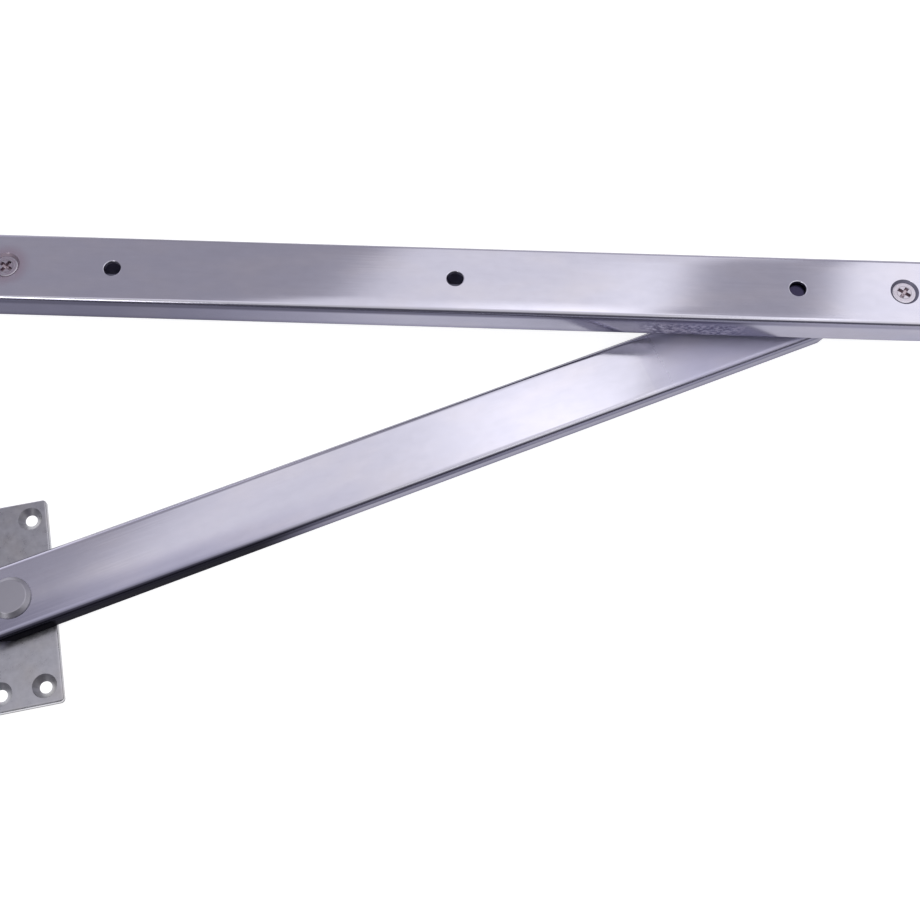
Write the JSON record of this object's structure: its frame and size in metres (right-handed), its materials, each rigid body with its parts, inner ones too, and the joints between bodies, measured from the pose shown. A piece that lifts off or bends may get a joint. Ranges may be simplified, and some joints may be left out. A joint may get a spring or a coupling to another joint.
{
  "type": "overhead door stay",
  "caption": "Door limiting stay: a folded steel rail, a shoe that slides in it, a U-section arm that turns on the shoe's stud, and a countersunk fixing plate pinned to the arm.",
  "frame": {"origin": "centre of the rail's middle fixing hole, on the web's outer face, which is the mounting face", "axes": "+X along the rail from the far stop to the stop that the shoe stands at, +Z out of the rail's web towards the door frame's head, +Y across the rail, away from the side the arm lies on"},
  "size_m": [0.38, 0.1895, 0.0264],
  "materials": {
    "zinc_strip": "bright zinc plate on rolled strip, faint grain along the length",
    "zinc_plate": "bright zinc plate, slightly mottled",
    "zinc_fixings": "bright zinc plate on turned and headed steel",
    "shoe_moulding": "black nylon, as moulded, lightly greased",
    "washer_moulding": "natural acetal, as moulded",
    "block_moulding": "black nylon, as moulded",
    "buffer_rubber": "black rubber"
  },
  "bodies": {
    "rail_body": {"rail": "zinc_strip", "left_stop_block": "block_moulding", "left_stop_nut": "zinc_fixings", "left_stop_screw": "zinc_fixings", "left_buffer": "buffer_rubber", "right_stop_block": "block_moulding", "right_stop_nut": "zinc_fixings", "right_stop_screw": "zinc_fixings", "right_buffer": "buffer_rubber"},
    "slider_body": {"slider_shoe": "shoe_moulding", "slider_stud": "zinc_fixings", "slider_washer": "washer_moulding", "stud_washer": "zinc_fixings"},
    "arm_body": {"arm": "zinc_strip"},
    "plate_body": {"frame_plate": "zinc_plate", "plate_rivet": "zinc_fixings", "plate_bush": "zinc_fixings", "plate_washer": "washer_moulding"}
  },
  "joints": [
    {"name": "slider_travel", "type": "slide", "parent": "rail_body", "child": "slider_body", "axis": [1, 0, 0], "range_m": [-0.2768, 0]},
    {"name": "arm_swing", "type": "hinge", "parent": "slider_body", "child": "arm_body", "pos_m": [0.1384, 0, -0.0175], "axis": [0, 0, 1], "continuous": true},
    {"name": "plate_swivel", "type": "hinge", "parent": "arm_body", "child": "plate_body", "pos_m": [-0.15896, -0.13115, -0.0175], "axis": [0, 0, 1], "continuous": true}
  ]
}
